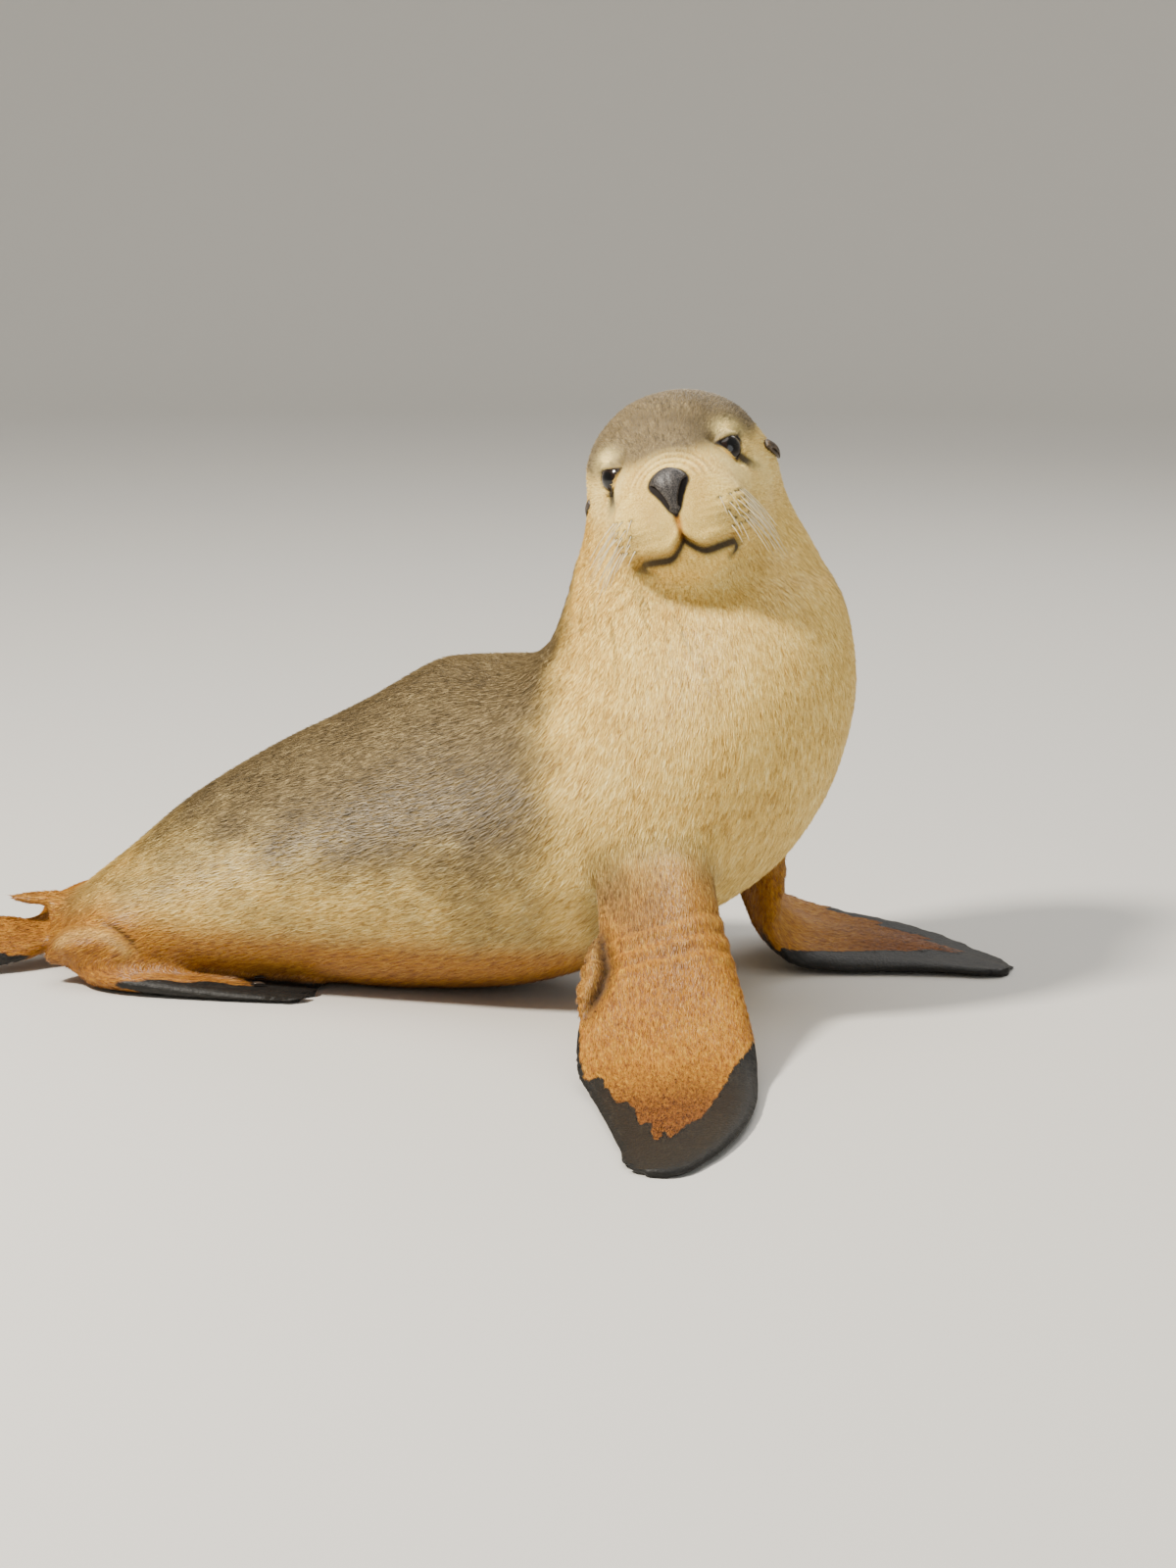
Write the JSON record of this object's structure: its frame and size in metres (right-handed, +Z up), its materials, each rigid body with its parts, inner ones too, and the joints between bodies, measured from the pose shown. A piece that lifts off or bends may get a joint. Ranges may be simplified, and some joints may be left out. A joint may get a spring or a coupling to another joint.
{
  "type": "australian sea lion, young",
  "caption": "Young sea lion sitting up on spread foreflippers, belly on the ground, head turned aside, one hind flipper folded forward; still life-size model.",
  "frame": {"origin": "on the floor under the middle of the animal's bounding box", "axes": "+X along the trunk from rump to shoulders, +Y the animal's left, +Z up; the head turns towards -Y"},
  "size_m": [1.1213, 0.7384, 0.5502],
  "materials": {
    "back_fur": "short flat fur, silvery grey-brown, matte with a soft sheen",
    "front_fur": "short flat fur, pale cream, matte",
    "flank_fur": "short flat fur, orange tan, matte",
    "flipper_skin": "short tan fur over bare blue-grey skin, finely wrinkled",
    "nose_leather": "dark grey pebbled leather, slightly moist",
    "eye": "wet, near-black brown, glossy"
  },
  "bodies": {
    "root": {"trunk": "back_fur", "neck": "front_fur", "head": "front_fur", "tail": "back_fur", "foreflipper_right": "flipper_skin", "foreflipper_left": "flipper_skin", "hindleg_right": "flank_fur", "hindleg_left": "flank_fur", "hindflipper_right": "flipper_skin", "hindflipper_left": "flipper_skin", "eye_right": "eye", "eye_left": "eye", "ear_right": "nose_leather", "ear_left": "nose_leather", "nose": "nose_leather"}
  },
  "joints": []
}
